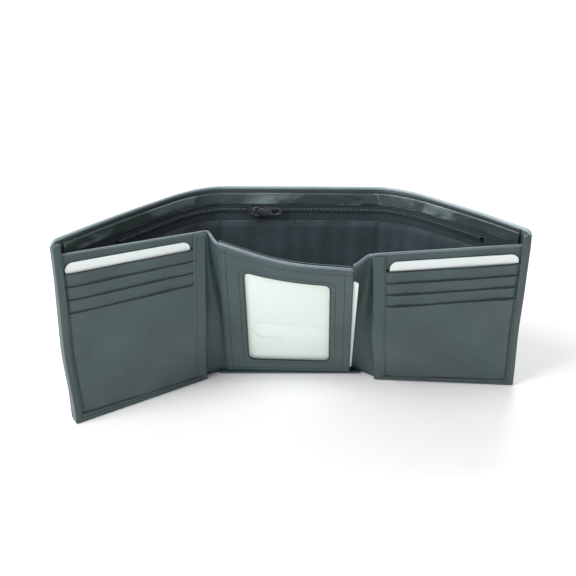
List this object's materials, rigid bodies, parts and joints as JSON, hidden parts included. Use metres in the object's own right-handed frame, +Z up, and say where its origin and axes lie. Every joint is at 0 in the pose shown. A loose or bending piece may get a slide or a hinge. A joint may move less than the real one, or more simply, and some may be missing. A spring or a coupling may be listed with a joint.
{
  "type": "trifold wallet",
  "caption": "Trifold wallet standing open: two folding wings with stepped card slots, a clear window panel between them and a note compartment with a zipped back pocket.",
  "frame": {"origin": "centre of the bounding box in plan, on the plane the wallet stands on", "axes": "+Z up, -Y out of the open front, +X towards the right wing as seen from the front"},
  "size_m": [0.2756, 0.0961, 0.115],
  "materials": {
    "leather": "fine grain, satin",
    "edge_leather": "folded edge, glossy",
    "lining": "smooth woven",
    "zip_fabric": "woven tape",
    "zip_nylon": "nylon coil",
    "metal": "polished, slightly worn",
    "thread": "polyester thread",
    "window": "clear flexible vinyl",
    "card": "satin",
    "insert_card": "satin"
  },
  "bodies": {
    "centre": {"back_shell": "leather", "zip_pouch": "lining", "zip_tape": "zip_fabric", "back_lining": "lining", "zip_facing": "leather", "zip_teeth": "zip_nylon", "bottom_seam": "leather", "centre_lining": "lining", "window_backing": "leather", "window_pocket_seams": "leather", "window_leather": "leather", "clear_window": "window", "window_top_binding": "edge_leather", "window_stitching": "thread", "left_gusset": "leather", "right_gusset": "leather"},
    "left_wing": {"left_shell": "leather", "left_knee": "leather", "left_shell_lining": "lining", "left_knee_lining": "lining", "left_zip_facing": "leather", "left_knee_facing": "leather", "left_zip_teeth": "zip_nylon", "left_wing_back": "leather", "left_wing_lining": "lining", "left_pocket_1": "leather", "left_pocket_2": "leather", "left_pocket_3": "leather", "left_pocket_4": "leather", "left_stitching": "thread", "left_tip_edge": "edge_leather", "left_foot": "leather", "zip_stops": "metal"},
    "right_wing": {"right_shell": "leather", "right_knee": "leather", "right_shell_lining": "lining", "right_knee_lining": "lining", "right_zip_facing": "leather", "right_knee_facing": "leather", "right_zip_teeth": "zip_nylon", "right_wing_back": "leather", "right_wing_lining": "lining", "right_pocket_1": "leather", "right_pocket_2": "leather", "right_pocket_3": "leather", "right_pocket_4": "leather", "right_stitching": "thread", "right_tip_edge": "edge_leather", "right_foot": "leather", "zip_end_stop": "metal"},
    "left_card": {"left_card": "card"},
    "right_card": {"right_card": "card"},
    "window_insert": {"window_insert": "insert_card"},
    "zip_slider": {"zip_slider": "metal"},
    "zip_pull": {"zip_pull": "metal"}
  },
  "joints": [
    {"name": "left_fold", "type": "hinge", "parent": "centre", "child": "left_wing", "pos_m": [-0.05495, 0.00113, -0.00005], "axis": [0.0076, -0.0137, 0.9999], "range_deg": [-29, 73], "deforming": ["left_gusset", "left_knee", "left_knee_lining", "left_knee_facing", "left_zip_teeth"]},
    {"name": "right_fold", "type": "hinge", "parent": "centre", "child": "right_wing", "pos_m": [0.04447, 0.00108, -0.00074], "axis": [0.0083, 0.2163, -0.9763], "range_deg": [-8, 112], "deforming": ["right_gusset", "right_knee", "right_knee_lining", "right_knee_facing", "right_zip_teeth"]},
    {"name": "left_card_slide", "type": "slide", "parent": "left_wing", "child": "left_card", "axis": [0.0076, -0.0137, 0.9999], "range_m": [0, 0.042]},
    {"name": "right_card_slide", "type": "slide", "parent": "right_wing", "child": "right_card", "axis": [-0.0083, -0.2163, 0.9763], "range_m": [0, 0.042]},
    {"name": "window_insert_slide", "type": "slide", "parent": "centre", "child": "window_insert", "axis": [0.9925, -0.1219, 0], "range_m": [0, 0.008]},
    {"name": "zip_slide", "type": "slide", "parent": "centre", "child": "zip_slider", "axis": [0.9999, -0.0144, 0], "range_m": [-0.024, 0.056]},
    {"name": "pull_flip", "type": "hinge", "parent": "zip_slider", "child": "zip_pull", "pos_m": [-0.02671, 0.03919, 0.09919], "axis": [-0.0034, -0.2096, -0.9778], "range_deg": [0, 165]}
  ]
}
